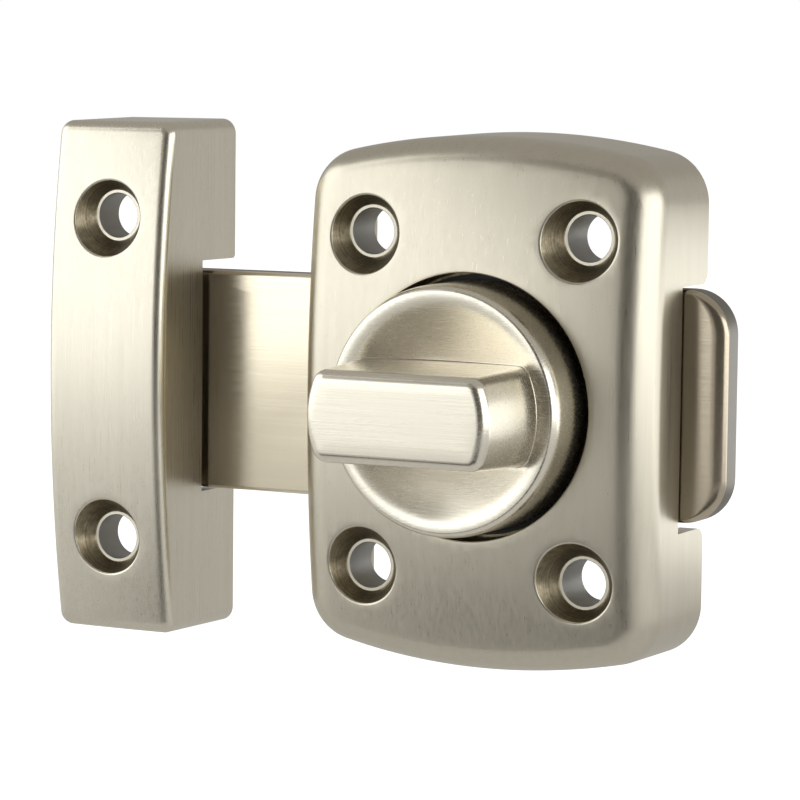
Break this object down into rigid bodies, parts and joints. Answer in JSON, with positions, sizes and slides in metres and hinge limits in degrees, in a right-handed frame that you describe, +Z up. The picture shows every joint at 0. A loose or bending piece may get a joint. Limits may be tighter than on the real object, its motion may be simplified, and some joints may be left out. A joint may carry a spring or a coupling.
{
  "type": "sliding door bolt",
  "caption": "Sliding door bolt: a turn knob in a domed cast housing drives a flat bolt plate across a gap into a separate cast keeper.",
  "frame": {"origin": "middle of the housing's lower back land, on the face that lies against the door, 28.95 mm below the knob's axis", "axes": "+Z up the door, +X along the door from the keeper to the housing, -Y out of the door towards the hand, +Y into the door"},
  "size_m": [0.082, 0.0338, 0.0612],
  "materials": {
    "casting": "satin brushed nickel plating",
    "plate": "brushed, warm nickel tone, raw cut edges",
    "hardware": "plain zinc plated",
    "sleeve": "sintered",
    "washer": "matt"
  },
  "bodies": {
    "fixed": {"housing": "casting", "keeper": "casting", "friction_washer": "washer"},
    "turn_knob": {"knob": "casting", "crank_screw": "hardware", "crank_washer": "hardware", "crank_sleeve": "sleeve"},
    "bolt": {"bolt_plate": "plate"}
  },
  "joints": [
    {"name": "knob_turn", "type": "hinge", "parent": "fixed", "child": "turn_knob", "pos_m": [0, 0, 0.02895], "axis": [0, 1, 0], "range_deg": [0, 180]},
    {"name": "bolt_slide", "type": "slide", "parent": "fixed", "child": "bolt", "axis": [1, 0, 0], "range_m": [0, 0.018]}
  ],
  "couplings": [
    {"joint": "bolt_slide", "follows": "knob_turn", "m_per_rad": 0.0057295}
  ]
}
